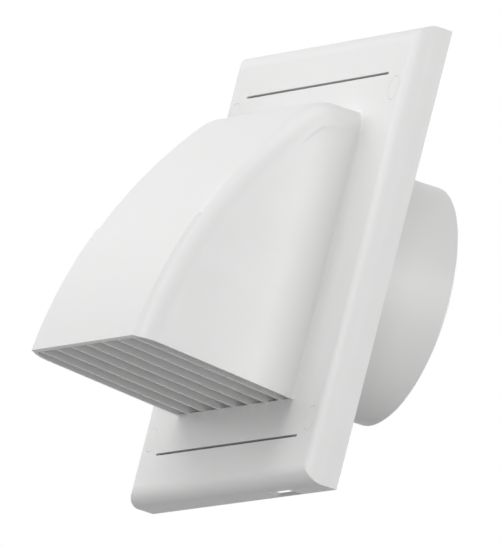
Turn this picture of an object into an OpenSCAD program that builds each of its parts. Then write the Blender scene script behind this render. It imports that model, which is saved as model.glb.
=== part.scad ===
// Exterior wall vent: a square cover pan with a deep curved hood, barred at its open underside,
// over a wall frame with a round duct spigot and a hanging backdraft flap.
// X runs to the right seen from the front, Y runs into the wall, Z is up.
// The origin is on the duct's axis in the wall's plane, so the cover lies in front of Y = 0.

/* [Cover pan] */
// Width of the cover
cover_w = 190; // [182:1:220]
// Height of the cover
cover_h = 190; // [182:1:220]
// Depth of the cover, from the wall to its front face
cover_d = 13.5; // [12.5:0.5:18]
// Radius along the four front edges
edge_r = 7; // [3:0.5:8]
// Wall of the cover pan
skin = 1.6; // [1.2:0.1:2.2]

/* [Hood] */
// Width of the hood
hood_w = 120; // [112:1:130]
// Height of the hood's top above the duct's axis
hood_top = 60.5; // [59.5:0.5:64]
// Depth of the hood's lower edge below the duct's axis, at the cover
hood_foot = 59.7; // [58:0.1:64]
// Distance from the cover's face to the hood's lip
hood_reach = 69.8; // [66:0.1:76]
// Wall of the hood
hood_wall = 1.7; // [1.3:0.1:2.4]
// Radius of the curved front, seen from the side
front_r = 200; // [180:1:230]
// Lean of the front wall at the lip
lip_lean = 5.9; // [4:0.1:8]
// Radius of the bend between the flat top and the curved front
brow_r = 16; // [13:0.5:20]
// Radius of the ridges between the front and the side walls
ridge_r = 10; // [6:0.5:12]
// Slope of the mouth, rising from the cover to the lip
mouth_rise = 5; // [3:0.1:7]
// Radius of the small fillet round the hood's foot
foot_r = 1; // [0.6:0.1:1.6]

/* [Raised field on the hood] */
// Distance from the hood's side to the outer edge of the field's bevel
field_inset = 5; // [4:0.5:9]
// Height of the field's top edge above the duct's axis
field_top = 2; // [-10:0.5:10]
// How far the field stands proud at its top edge
field_rise_top = 0.25; // [0.15:0.05:0.5]
// How far the field stands proud at the lip
field_rise_lip = 0.7; // [0.4:0.05:1]
// Width of the bevel along each side
field_bevel = 2; // [1.4:0.1:2.6]
// Angle of the ramp along the top edge
field_ramp = 5; // [3:1:12]

/* [Mouth bars] */
// Number of bars
bar_count = 7; // [3:2:7]
// Distance from bar to bar
bar_pitch = 16.2; // [12:0.1:17]
// Thickness of a bar
bar_t = 1.8; // [1.2:0.1:2.4]
// Height of a bar
bar_h = 6; // [4:0.5:7]

/* [Slots and seats in the cover] */
// Distance from the ends of the two long slots to the cover's sides
slot_end = 22; // [21:0.5:45]
// Width of the two long slots
slot_w = 1; // [0.8:0.1:1.4]
// Distance of the two long slots from the cover's top and bottom
slot_in = 19.8; // [17:0.1:21]
// Distance of the fixing holes from the cover's sides
screw_in_x = 13; // [11.5:0.5:15]
// Distance of the fixing holes from the cover's top and bottom
screw_in_z = 26.5; // [26.5:0.5:32]
// Diameter of the screw hole
screw_hole = 4.8; // [4:0.1:5]
// Diameter of the recess that takes a cap
cap_seat_d = 10; // [9.6:0.1:10.6]
// Thickness of a cap's flange
cap_t = 1.4; // [1:0.1:1.8]
// Diameter of the bore for the screw's head and the cap's stem
head_bore = 8.4; // [8:0.1:8.6]
// Depth of the bore for the screw's head, below the cap's flange
head_depth = 4; // [3.4:0.1:5]
// Wall round the cap's recess
boss_wall = 1.5; // [1.2:0.1:1.8]
// Distance of the prying slot from the cover's middle
pry_x = 49; // [-60:1:60]
// Length of the prying slot
pry_l = 22; // [14:1:26]
// Width of the prying slot
pry_w = 5.3; // [4.6:0.1:5.6]
// Web between the prying slot and the wall
pry_web = 0.6; // [0.5:0.1:1]
// Distance of the two relief cuts from the cover's sides
relief_in = 8.5; // [8:0.5:13]
// Width of a relief cut
relief_w = 0.6; // [0.5:0.1:1]
// Depth of a relief cut
relief_d = 3.4; // [2:0.1:4]

/* [Wall frame] */
// Outside diameter of the duct spigot
duct_d = 100; // [90:1:102]
// Length of the spigot behind the wall's plane
spigot_l = 45.2; // [30:0.1:60]
// Wall of the spigot
spigot_wall = 1.8; // [1.5:0.1:2.4]
// Thickness of the frame's plate
plate_t = 2; // [1.6:0.1:2.4]
// Free space between the frame's edge and the cover's side walls
frame_gap = 2.4; // [1.5:0.1:2.6]
// Height of the frame's rim above its plate
rim_h = 6; // [3:0.5:7]
// Wall of the frame's rim, rails and ribs
rim_t = 1.5; // [1.2:0.1:1.8]
// Height of the flap's seat above the plate
seat_h = 3; // [2:0.5:3.5]
// Width of the flap's seat
seat_w = 4.8; // [4:0.1:5.2]

/* [Backdraft flap] */
// Thickness of the flap
flap_t = 1.4; // [1:0.1:1.8]
// Overlap of the flap on its seat
flap_lap = 2.3; // [1.5:0.1:3]
// Height of the flap's stiffening rim and ribs
flap_rim = 1.6; // [1:0.1:2]
// Thickness of the flap's stiffening rim and ribs
flap_rib = 1.2; // [0.9:0.1:1.6]
// Diameter of the flap's axle
axle_d = 3; // [2.4:0.1:3.2]
// Distance from the flap's middle to the middle of an ear
ear_x = 40; // [38:1:44]
// Width of an ear
ear_w = 4; // [3:0.5:5]
// Width of a knuckle on the flap
knuckle_w = 6; // [4:0.5:7]

/* [Clearances] */
// Radial clearance of the flap on its axle
run_gap = 0.08; // [0.04:0.01:0.1]
// Radial clearance of the axle in the ears
pin_gap = 0.02; // [0.01:0.01:0.04]
// Gap between the closed flap and its seat
seat_gap = 0.3; // [0.2:0.05:0.4]
// Radial gap round a cap's flange
cap_gap = 0.12; // [0.08:0.01:0.2]
// Radial gap round a cap's stem
stem_gap = 0.05; // [0.03:0.01:0.1]
// Free play of the snap rails
snap_gap = 0.5; // [0.3:0.1:0.6]
// Sideways gap between a knuckle and its ear
ear_gap = 0.6; // [0.4:0.1:1]

/* [Hidden] */
$fn = 96;

white = [0.93, 0.93, 0.92];
frame_white = [0.88, 0.88, 0.87];
flap_grey = [0.80, 0.81, 0.81];
steel = [0.62, 0.63, 0.65];

// How deep joined shapes reach into each other, and how far cuts run past a face
sink = 0.4;
past = 1;

// How far the hood's form runs on past what is kept of it: before the lip, below the foot
// and beyond the curved front
run_on = 15;
foot_run = 20;
front_run = 5;

// The cover's front face and the inner side of its skin
face_y = -cover_d;
inner_y = face_y + skin;

// Outline of the hood from the side: the curved front turns about [arc_y, arc_z]
// and the brow about [brow_y, brow_z]
lip_z = mouth_z(hood_reach);
arc_y = face_y - hood_reach + front_r * cos(lip_lean);
arc_z = lip_z - front_r * sin(lip_lean);
brow_z = hood_top - brow_r;
brow_y = arc_y - sqrt(pow(front_r - brow_r, 2) - pow(brow_z - arc_z, 2));
brow_turn = atan2(brow_z - arc_z, arc_y - brow_y);
far_y = face_y - hood_reach - run_on;

// The field's top edge on the curved front, with the directions outwards and down the front there
field_turn = asin((field_top - arc_z) / front_r);
field_out = [-cos(field_turn), sin(field_turn)];
field_down = [-sin(field_turn), -cos(field_turn)];
field_edge = [arc_y, arc_z] + front_r * field_out;
field_sweep = field_turn - lip_lean;
field_tip = (field_rise_lip - field_rise_top * cos(field_sweep)) / sin(field_sweep);

// The skin's sill above the mouth's edge, and the height and depth of a bar's heel behind it
sill = 0.6;
heel_h = 4;
heel_d = 2.2;

// Fixing holes
screw_x = cover_w / 2 - screw_in_x;
screw_z = cover_h / 2 - screw_in_z;
boss_d = cap_seat_d + 2 * boss_wall;
boss_gap = 0.8;
stem_d = head_bore - 2 * stem_gap;
stem_wall = 1;
stem_l = 2.2;

// Snap rails: the cover's two ledges hook behind the frame's two rails.
// The hooks lie right behind the long slots, through which their undercuts are moulded.
slot_l = cover_w - 2 * slot_end;
slot_z = cover_h / 2 - slot_in;
slot_margin = 3;
snap_l = slot_l - 2 * slot_margin;
hook_t = 1.8;
hook_gap = 1.8;
ledge_set = 0.1;
hook_tip = slot_z - slot_w / 2;
hook_back = -plate_t - hook_gap;
hook_front = hook_back - hook_t;
ledge_z = slot_z + slot_w / 2 + ledge_set;
rail_z = hook_tip - snap_gap;
bead_tip = hook_tip + 0.7 * slot_w;
bead_back = hook_front - snap_gap;
bead_front = bead_back - hook_t;

// Wall frame
frame_w = cover_w - 2 * (skin + frame_gap);
frame_h = cover_h - 2 * (skin + frame_gap);
frame_corner = 4;
bore_r = duct_d / 2 - spigot_wall;
seat_r = bore_r + seat_w;
seat_y = -plate_t - seat_h;
lead_in = 0.8;

// Flap and its hinge line
flap_r = bore_r + flap_lap;
flap_back = seat_y - seat_gap;
flap_front = flap_back - flap_t;
head_rise = 0.5;
head_gap = 0.8;
knuckle_wall = 1.4;
knuckle_set = 0.1;
ear_wall = 2;
axle_end = 1.5;
head_z = flap_r + head_rise;
knuckle_r = axle_d / 2 + run_gap + knuckle_wall;
knuckle_x = ear_x - ear_w / 2 - ear_gap - knuckle_w / 2;
ear_r = axle_d / 2 + pin_gap + ear_wall;
axle_y = flap_back - knuckle_r + knuckle_set;
axle_z = head_z + axle_d / 2 + head_gap;
axle_l = 2 * (ear_x + axle_end) + ear_w;

// Height of the mouth's plane at a distance in front of the cover's face
function mouth_z(o) = -hood_foot + o * tan(mouth_rise);

// A slab across X whose side view has the given [y, z] corners
module side_slab(points, w) {
    rotate([0, -90, 0])
        linear_extrude(w, center = true)
            polygon([for (p = points) [p[1], p[0]]]);
}

// A flat shape from one x to another, 2 * half wide, with its two far corners rounded
module rounded_end(from, to, half, corner) {
    translate([from, -half]) square([to - corner - from, 2 * half]);
    translate([from, corner - half]) square([to - from, 2 * (half - corner)]);
    for (side = [0, 1])
        mirror([0, side])
            intersection() {
                translate([to - corner, half - corner]) circle(corner);
                translate([to - corner, half - corner]) square(corner);
            }
}

// A roller on an axle along X, with rounded shoulders
module roller(r, half, corner) {
    rotate([0, 90, 0])
        rotate_extrude($fn = 240)
            rounded_end(0, r, half, corner);
}

// The section of a small hollow fillet between two walls that meet at the origin
module hollow_fillet(r) {
    difference() {
        translate([-sink, -sink]) square(r + sink);
        translate([r, r]) circle(r);
    }
}

// A plate with rounded corners, from the wall's plane forwards
module frame_plate(w, h, corner, t) {
    rotate([90, 0, 0])
        linear_extrude(t) {
            square([w, h - 2 * corner], center = true);
            square([w - 2 * corner, h], center = true);
            for (x = [-1, 1], z = [-1, 1])
                translate([x * (w / 2 - corner), z * (h / 2 - corner)]) circle(corner);
        }
}

// A round bar, or the cut for a bore, along X
module cross_rod(r, from_x, to_x, y, z) {
    translate([from_x, y, z])
        rotate([0, 90, 0])
            cylinder(h = to_x - from_x, r = r, $fn = 48);
}

// A disc or the cut for a bore on the duct's axis, from one y to another
module duct_disc(r, from_y, to_y) {
    translate([0, from_y, 0])
        rotate([-90, 0, 0])
            cylinder(h = to_y - from_y, r = r, $fn = 144);
}

// Places what follows at the four fixing holes, with its Z pointing out of the wall
module at_screws() {
    for (x = [-1, 1], z = [-1, 1])
        translate([x * screw_x, 0, z * screw_z])
            rotate([90, 0, 0]) children();
}

// A rail across X above the duct and its mirror image below, with the given [y, z] section
module rail_pair(points) {
    for (side = [0, 1])
        mirror([0, 0, side]) side_slab(points, snap_l);
}

// The cover pan as a solid block, drawn in by inset in front and at the sides
module pan_form(inset, back_y) {
    intersection() {
        rotate([0, -90, 0])
            linear_extrude(cover_w - 2 * inset, center = true)
                rotate([0, 0, -90])
                    rounded_end(-back_y, cover_d - inset, cover_h / 2 - inset, edge_r - inset);
        linear_extrude(cover_h, center = true)
            rotate([0, 0, -90])
                rounded_end(-back_y, cover_d - inset, cover_w / 2 - inset, edge_r - inset);
    }
}

// The hood's full form down past its mouth, drawn in by inset, which reaches back to back_y
module hood_form(inset, back_y) {
    half = hood_w / 2 - inset;
    corner = ridge_r - inset;
    low_z = -hood_foot - foot_run;
    split_z = arc_z + (arc_y - back_y) * tan(brow_turn);
    split_far = [arc_y, arc_z] + (front_r + front_run) * [-cos(brow_turn), sin(brow_turn)];
    intersection() {
        translate([0, arc_y, arc_z]) roller(front_r - inset, half, corner);
        side_slab([
            [back_y, low_z], [back_y, split_z], split_far,
            [far_y, split_far[1]], [far_y, low_z]
        ], hood_w + 2);
    }
    intersection() {
        translate([0, brow_y, brow_z]) roller(brow_r - inset, half, corner);
        translate([-hood_w, far_y, low_z]) cube([2 * hood_w, back_y - far_y, 3 * hood_w]);
    }
    translate([0, brow_y, low_z])
        rotate([0, -90, -90])
            linear_extrude(back_y - brow_y)
                rounded_end(0, hood_top - inset - low_z, half, corner);
}

// The raised field on the hood's lower front: bevelled along its sides, with a ramp at its top edge
module raised_field() {
    centre = [arc_y, arc_z] + field_rise_top * field_out + field_tip * field_down;
    depth = 8;
    ramp = cos(field_ramp) * field_down + sin(field_ramp) * field_out;
    ramp_end = field_edge + 3 * field_rise_top / sin(field_ramp) * ramp;
    half = hood_w / 2 - field_inset;
    r = front_r;
    intersection() {
        translate([0, centre[0], centre[1]])
            rotate([0, 90, 0])
                rotate_extrude($fn = 240)
                    polygon([
                        [0, -half], [r - field_bevel, -half], [r, field_bevel - half],
                        [r, half - field_bevel], [r - field_bevel, half], [0, half]
                    ]);
        side_slab([
            field_edge - depth * field_out, field_edge, ramp_end, [far_y, ramp_end[1]],
            [far_y, lip_z - depth], [face_y - hood_reach + depth, lip_z - depth]
        ], hood_w);
    }
}

// The fillet round the hood's foot: up both sides, round the two corners and across the top
module foot_fillet() {
    side_top = hood_top - ridge_r;
    for (side = [0, 1])
        mirror([side, 0, 0]) {
            translate([hood_w / 2, face_y, -hood_foot - past])
                linear_extrude(hood_foot + past + side_top)
                    mirror([0, 1]) hollow_fillet(foot_r);
            translate([hood_w / 2 - ridge_r, face_y, side_top])
                rotate([90, 0, 0])
                    rotate_extrude(angle = 90)
                        translate([ridge_r, 0]) hollow_fillet(foot_r);
        }
    translate([ridge_r - hood_w / 2, face_y, hood_top])
        rotate([90, 0, 90])
            linear_extrude(hood_w - 2 * ridge_r)
                mirror([1, 0]) hollow_fillet(foot_r);
}

// The hood's solid outside, from the mouth's plane up
module hood_outside() {
    back_y = face_y + skin / 2;
    intersection() {
        union() {
            hood_form(0, back_y);
            raised_field();
            foot_fillet();
        }
        side_slab([
            [back_y, mouth_z(face_y - back_y)], [far_y, mouth_z(face_y - far_y)],
            [far_y, hood_top + 2 * foot_r], [back_y, hood_top + 2 * foot_r]
        ], hood_w + 4 * foot_r);
    }
}

// The air space in the hood, which also opens the cover's skin behind it
module hood_inside() {
    back_y = inner_y + past;
    drop = 3;
    intersection() {
        hood_form(hood_wall, back_y);
        side_slab([
            [back_y, sill - hood_foot], [face_y, sill - hood_foot], [face_y, mouth_z(0) - drop],
            [far_y, mouth_z(face_y - far_y) - drop], [far_y, hood_top + past],
            [back_y, hood_top + past]
        ], hood_w + 2);
    }
}

// The bars across the mouth: flush with its edge, each with a heel that grips behind the cover's skin
module mouth_bars() {
    lip_o = hood_reach - hood_wall / 2;
    heel_o = -skin - heel_d;
    points = [
        [lip_o, mouth_z(lip_o)], [lip_o - bar_h * tan(lip_lean), mouth_z(lip_o) + bar_h],
        [heel_o, bar_h - hood_foot], [heel_o, -hood_foot - heel_h],
        [-skin / 2, -hood_foot - heel_h], [-skin / 2, -hood_foot - sink], [0, -hood_foot]
    ];
    for (i = [0 : bar_count - 1])
        translate([(i - (bar_count - 1) / 2) * bar_pitch, 0, 0])
            side_slab([for (p = points) [face_y - p[0], p[1]]], bar_t);
}

// The cover's two ledges, hooked inwards behind the long slots
module snap_ledges() {
    root = inner_y - skin / 2;
    rail_pair([
        [root, ledge_z], [root, ledge_z + rim_t], [hook_back, ledge_z + rim_t],
        [hook_back, hook_tip + 0.5 * slot_w], [hook_back - 0.5 * slot_w, hook_tip],
        [hook_front, hook_tip], [hook_front, ledge_z]
    ]);
}

// The two long slots through the cover's skin
module long_slots() {
    for (side = [-1, 1])
        translate([0, face_y, side * slot_z])
            cube([slot_l, 2 * skin + past, slot_w], center = true);
}

// The stepped bores that take the screws' heads and the caps
module screw_seats() {
    at_screws() {
        translate([0, 0, cover_d - cap_t]) cylinder(h = cap_t + past, d = cap_seat_d);
        translate([0, 0, cover_d - cap_t - head_depth]) cylinder(h = head_depth + cap_t, d = head_bore);
        translate([0, 0, plate_t - past]) cylinder(h = cover_d - plate_t, d = screw_hole);
    }
}

// The slot in the lower side wall for prying the cover off, and two cuts that let the wall flex
module pry_slot() {
    low = -cover_h / 2 - past;
    high = skin + 2 * past;
    translate([pry_x - pry_l / 2, -pry_web - pry_w, low]) cube([pry_l, pry_w, high]);
    for (side = [-1, 1])
        translate([side * (cover_w / 2 - relief_in) - relief_w / 2, -relief_d, low])
            cube([relief_w, relief_d + past, high]);
}

module front_cover() {
    color(white)
        difference() {
            union() {
                difference() {
                    union() {
                        pan_form(0, 0);
                        hood_outside();
                    }
                    pan_form(skin, past);
                    hood_inside();
                }
                mouth_bars();
                snap_ledges();
                intersection() {
                    at_screws() translate([0, 0, plate_t]) cylinder(h = cover_d, d = boss_d);
                    pan_form(skin / 2, 0);
                }
            }
            long_slots();
            screw_seats();
            pry_slot();
        }
}

// The frame's perimeter rim, cut away round the cover's bosses
module frame_rim() {
    difference() {
        frame_plate(frame_w, frame_h, frame_corner, plate_t + rim_h);
        translate([0, past, 0])
            frame_plate(frame_w - 2 * rim_t, frame_h - 2 * rim_t, frame_corner - rim_t,
                plate_t + rim_h + 2 * past);
        at_screws() translate([0, 0, plate_t]) cylinder(h = rim_h + past, d = boss_d + 2 * boss_gap);
    }
}

// The frame's two rails, each with a bead that holds the cover's hook
module snap_rails() {
    root = sink - plate_t;
    rail_pair([
        [root, rail_z - rim_t], [root, rail_z], [bead_back, rail_z], [bead_back, bead_tip],
        [bead_back - 0.5 * slot_w, bead_tip], [bead_front, rail_z], [bead_front, rail_z - rim_t]
    ]);
}

// The two ears that carry the flap's axle
module hinge_ears() {
    for (side = [-1, 1])
        difference() {
            union() {
                cross_rod(ear_r, side * ear_x - ear_w / 2, side * ear_x + ear_w / 2, axle_y, axle_z);
                translate([side * ear_x - ear_w / 2, axle_y, axle_z - ear_r])
                    cube([ear_w, sink - plate_t - axle_y, 2 * ear_r]);
            }
            cross_rod(axle_d / 2 + pin_gap, side * ear_x - ear_w, side * ear_x + ear_w, axle_y, axle_z);
        }
}

module wall_frame() {
    color(frame_white)
        difference() {
            union() {
                frame_plate(frame_w, frame_h, frame_corner, plate_t);
                frame_rim();
                snap_rails();
                hinge_ears();
                duct_disc(seat_r, seat_y, 0);
                duct_disc(duct_d / 2, -sink, spigot_l - lead_in);
                translate([0, spigot_l - lead_in, 0])
                    rotate([-90, 0, 0])
                        cylinder(h = lead_in, r1 = duct_d / 2, r2 = duct_d / 2 - lead_in, $fn = 144);
            }
            duct_disc(bore_r, seat_y - past, spigot_l + past);
            at_screws() translate([0, 0, -past]) cylinder(h = plate_t + 2 * past, d = screw_hole);
        }
}

// The hanging flap: a disc with a rim and cross ribs in front, and a straight head with two knuckles
module backdraft_flap() {
    head_w = 2 * knuckle_x + knuckle_w;
    rib_l = 2 * flap_r - flap_rib;
    color(flap_grey)
        difference() {
            union() {
                duct_disc(flap_r, flap_front, flap_back);
                translate([-head_w / 2, flap_front, 0]) cube([head_w, flap_t, head_z]);
                difference() {
                    duct_disc(flap_r, flap_front - flap_rim, flap_front + sink);
                    duct_disc(flap_r - flap_rib, flap_front - flap_rim - past, flap_back + past);
                }
                translate([0, flap_front + (sink - flap_rim) / 2, 0]) {
                    cube([rib_l, flap_rim + sink, flap_rib], center = true);
                    cube([flap_rib, flap_rim + sink, rib_l], center = true);
                }
                for (side = [-1, 1]) {
                    inner = side * knuckle_x - knuckle_w / 2;
                    cross_rod(knuckle_r, inner, inner + knuckle_w, axle_y, axle_z);
                    translate([inner, flap_front, head_z - past])
                        cube([knuckle_w, flap_t, axle_z - head_z + past]);
                }
            }
            cross_rod(axle_d / 2 + run_gap, -ear_x, ear_x, axle_y, axle_z);
        }
}

module flap_axle() {
    color(steel)
        cross_rod(axle_d / 2, -axle_l / 2, axle_l / 2, axle_y, axle_z);
}

// A cap that closes one screw's recess, flush with the cover's face: side is -1 or 1 along X, level along Z
module screw_cap(side, level) {
    color(white)
        translate([side * screw_x, 0, level * screw_z])
            rotate([90, 0, 0]) {
                translate([0, 0, cover_d - cap_t])
                    cylinder(h = cap_t, d = cap_seat_d - 2 * cap_gap);
                translate([0, 0, cover_d - cap_t - stem_l])
                    difference() {
                        cylinder(h = stem_l + sink, d = stem_d);
                        translate([0, 0, -past])
                            cylinder(h = stem_l + past, d = stem_d - 2 * stem_wall);
                    }
            }
}

module cap_top_left() {
    screw_cap(-1, 1);
}

module cap_top_right() {
    screw_cap(1, 1);
}

module cap_bottom_left() {
    screw_cap(-1, -1);
}

module cap_bottom_right() {
    screw_cap(1, -1);
}

front_cover();
wall_frame();
backdraft_flap();
flap_axle();
cap_top_left();
cap_top_right();
cap_bottom_left();
cap_bottom_right();
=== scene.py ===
# Looks of the exterior vent: moulded white plastic, a steel axle, soft studio light and the camera.
import math

import bpy
from mathutils import Matrix, Vector

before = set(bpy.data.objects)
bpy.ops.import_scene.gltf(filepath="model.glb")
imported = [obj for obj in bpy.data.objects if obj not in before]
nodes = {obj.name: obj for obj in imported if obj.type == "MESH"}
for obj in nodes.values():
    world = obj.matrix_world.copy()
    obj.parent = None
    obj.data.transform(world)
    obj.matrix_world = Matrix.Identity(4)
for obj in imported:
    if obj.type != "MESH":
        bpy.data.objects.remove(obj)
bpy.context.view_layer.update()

MM = 0.001


# Materials

def new_material(name):
    """An empty node material with its output."""
    mat = bpy.data.materials.new(name)
    mat.use_nodes = True
    tree = mat.node_tree
    tree.nodes.clear()
    out = tree.nodes.new("ShaderNodeOutputMaterial")
    return mat, tree, out


def noise(tree, coords, scale, detail=2.0, rough=0.5):
    """A noise texture at that many features a metre."""
    node = tree.nodes.new("ShaderNodeTexNoise")
    node.inputs["Scale"].default_value = scale
    node.inputs["Detail"].default_value = detail
    node.inputs["Roughness"].default_value = rough
    tree.links.new(coords, node.inputs["Vector"])
    return node.outputs["Fac"]


def spread(tree, value, low, high):
    """Maps the middle of a noise to a range."""
    node = tree.nodes.new("ShaderNodeMapRange")
    node.inputs["From Min"].default_value = 0.3
    node.inputs["From Max"].default_value = 0.7
    node.inputs["To Min"].default_value = low
    node.inputs["To Max"].default_value = high
    tree.links.new(value, node.inputs["Value"])
    return node.outputs["Result"]


def moulded(name, color, rough, grain=0.02):
    """White moulded plastic: a fine spark-eroded grain, cloudy tone and an uneven satin sheen."""
    mat, tree, out = new_material(name)
    coords = tree.nodes.new("ShaderNodeTexCoord").outputs["Object"]
    bsdf = tree.nodes.new("ShaderNodeBsdfPrincipled")
    bsdf.inputs["IOR"].default_value = 1.5
    tone = spread(tree, noise(tree, coords, 22, 3), 0.985, 1.0)
    mix = tree.nodes.new("ShaderNodeMix")
    mix.data_type = "RGBA"
    mix.inputs[6].default_value = (color[0] * 0.96, color[1] * 0.96, color[2] * 0.955, 1)
    mix.inputs[7].default_value = (*color, 1)
    tree.links.new(tone, mix.inputs[0])
    tree.links.new(mix.outputs[2], bsdf.inputs["Base Color"])
    tree.links.new(spread(tree, noise(tree, coords, 90, 3), rough - 0.03, rough + 0.03),
                   bsdf.inputs["Roughness"])
    bump = tree.nodes.new("ShaderNodeBump")
    bump.inputs["Strength"].default_value = grain
    bump.inputs["Distance"].default_value = 0.0002
    tree.links.new(noise(tree, coords, 2200, 2), bump.inputs["Height"])
    tree.links.new(bump.outputs["Normal"], bsdf.inputs["Normal"])
    tree.links.new(bsdf.outputs["BSDF"], out.inputs["Surface"])
    return mat


def drawn_steel(name, color):
    """Bright drawn steel with fine lines along X."""
    mat, tree, out = new_material(name)
    coords = tree.nodes.new("ShaderNodeTexCoord").outputs["Object"]
    stretch = tree.nodes.new("ShaderNodeMapping")
    stretch.inputs["Scale"].default_value = (40, 3000, 3000)
    tree.links.new(coords, stretch.inputs["Vector"])
    bsdf = tree.nodes.new("ShaderNodeBsdfPrincipled")
    bsdf.inputs["Base Color"].default_value = (*color, 1)
    bsdf.inputs["Metallic"].default_value = 1.0
    lines = noise(tree, stretch.outputs["Vector"], 1.0, 2)
    tree.links.new(spread(tree, lines, 0.22, 0.42), bsdf.inputs["Roughness"])
    bump = tree.nodes.new("ShaderNodeBump")
    bump.inputs["Strength"].default_value = 0.1
    bump.inputs["Distance"].default_value = 0.00005
    tree.links.new(lines, bump.inputs["Height"])
    tree.links.new(bump.outputs["Normal"], bsdf.inputs["Normal"])
    tree.links.new(bsdf.outputs["BSDF"], out.inputs["Surface"])
    return mat


WHITE = (0.84, 0.84, 0.835)
cover_plastic = moulded("cover_plastic", WHITE, 0.42)
frame_plastic = moulded("frame_plastic", (0.82, 0.82, 0.815), 0.45)
flap_plastic = moulded("flap_plastic", (0.76, 0.76, 0.755), 0.5)
axle_steel = drawn_steel("axle_steel", (0.62, 0.63, 0.65))

FINISH = {
    "front_cover": cover_plastic, "wall_frame": frame_plastic,
    "backdraft_flap": flap_plastic, "flap_axle": axle_steel,
    "cap_top_left": cover_plastic, "cap_top_right": cover_plastic,
    "cap_bottom_left": cover_plastic, "cap_bottom_right": cover_plastic,
}
for name, node in nodes.items():
    node.data.materials.clear()
    node.data.materials.append(FINISH[name])


# Camera: fitted to the photograph as a long lens, since the photo shows hardly any perspective

LENS = 1500.0
DISTANCE = 9.114
AZIMUTH, ELEVATION, ROLL = (math.radians(v) for v in (68.965, -9.475, 14.264))
AIM = Vector((0, -13.5 * MM, 0))
AIM_RIGHT, AIM_UP = -8.66 * MM, -3.41 * MM

back = Vector((math.sin(AZIMUTH) * math.cos(ELEVATION),
               -math.cos(AZIMUTH) * math.cos(ELEVATION), math.sin(ELEVATION)))
level = Vector((math.cos(AZIMUTH), math.sin(AZIMUTH), 0))
up = back.cross(level)
right = math.cos(ROLL) * level + math.sin(ROLL) * up
up = math.cos(ROLL) * up - math.sin(ROLL) * level
spot = AIM + AIM_RIGHT * right + AIM_UP * up + DISTANCE * back

lens = bpy.data.cameras.new("camera")
lens.lens = LENS
lens.sensor_width = 36.0
lens.clip_start, lens.clip_end = 1.0, 30.0
camera = bpy.data.objects.new("camera", lens)
camera.matrix_world = Matrix((
    (right.x, up.x, back.x, spot.x), (right.y, up.y, back.y, spot.y),
    (right.z, up.z, back.z, spot.z), (0, 0, 0, 1)))
bpy.context.scene.collection.objects.link(camera)
bpy.context.scene.camera = camera


# Light

def lamp(name, place, aim, size, power):
    """A square soft box at a place, turned towards a point."""
    data = bpy.data.lights.new(name, "AREA")
    data.shape = "SQUARE"
    data.size = size
    data.energy = power
    ob = bpy.data.objects.new(name, data)
    ob.location = place
    ob.rotation_mode = "QUATERNION"
    ob.rotation_quaternion = (Vector(aim) - Vector(place)).to_track_quat("-Z", "Y")
    bpy.context.scene.collection.objects.link(ob)


# The camera's side gives the main light, with soft boxes in front, above, beside and behind
lamp("camera_side", (2.3, -0.9, -0.4), (0, 0, 0), 0.8, 10.2)
lamp("front_left", (-0.8, -1.2, 0.5), (0, 0, 0), 0.8, 4.4)
lamp("near_left", (-0.3, -0.3, 0.25), (0, 0, 0.03), 0.25, 0.25)
lamp("front", (0.1, -1.5, 0.3), (0, 0, 0), 1.0, 7.8)
lamp("overhead", (0.2, -0.6, 1.4), (0, 0, 0), 1.0, 7.2)
lamp("side", (1.6, 0.4, 0.3), (0, 0, 0), 1.0, 11.0)
lamp("behind", (-0.7, 1.5, 0.6), (0, 0, 0), 1.0, 14.0)

# A weak even light for surfaces, and plain white for the camera, clear pieces and reflections
SKY_LIGHT, SKY_SEEN = 0.05, 1.0
world = bpy.data.worlds.new("studio")
bpy.context.scene.world = world
world.use_nodes = True
tree = world.node_tree
tree.nodes.clear()
world_out = tree.nodes.new("ShaderNodeOutputWorld")
path = tree.nodes.new("ShaderNodeLightPath")
shade = None
for ray, strength in ((None, SKY_LIGHT), ("Is Camera Ray", SKY_SEEN),
                      ("Is Transmission Ray", SKY_SEEN), ("Is Glossy Ray", SKY_SEEN)):
    sky = tree.nodes.new("ShaderNodeBackground")
    sky.inputs["Color"].default_value = (1, 1, 1, 1)
    sky.inputs["Strength"].default_value = strength
    if ray is None:
        shade = sky.outputs["Background"]
        continue
    pick = tree.nodes.new("ShaderNodeMixShader")
    tree.links.new(path.outputs[ray], pick.inputs["Fac"])
    tree.links.new(shade, pick.inputs[1])
    tree.links.new(sky.outputs["Background"], pick.inputs[2])
    shade = pick.outputs["Shader"]
tree.links.new(shade, world_out.inputs["Surface"])


# Floor: a grey paper disc below the part, outside the photograph's view

FLOOR_Z, FLOOR_R = -0.35, 1.2
floor_mesh = bpy.data.meshes.new("floor")
steps = 96
ring = [(FLOOR_R * math.cos(2 * math.pi * i / steps), FLOOR_R * math.sin(2 * math.pi * i / steps),
         FLOOR_Z) for i in range(steps)]
floor_mesh.from_pydata(ring, [], [tuple(range(steps))])
floor = bpy.data.objects.new("floor", floor_mesh)
bpy.context.scene.collection.objects.link(floor)
mat, tree, out = new_material("floor_paper")
coords = tree.nodes.new("ShaderNodeTexCoord").outputs["Object"]
paper = tree.nodes.new("ShaderNodeBsdfDiffuse")
paper.inputs["Color"].default_value = (0.55, 0.55, 0.55, 1)
bump = tree.nodes.new("ShaderNodeBump")
bump.inputs["Strength"].default_value = 0.05
bump.inputs["Distance"].default_value = 0.0005
tree.links.new(noise(tree, coords, 300), bump.inputs["Height"])
tree.links.new(bump.outputs["Normal"], paper.inputs["Normal"])
tree.links.new(paper.outputs["BSDF"], out.inputs["Surface"])
floor_mesh.materials.append(mat)

bpy.context.scene.view_settings.view_transform = "Standard"
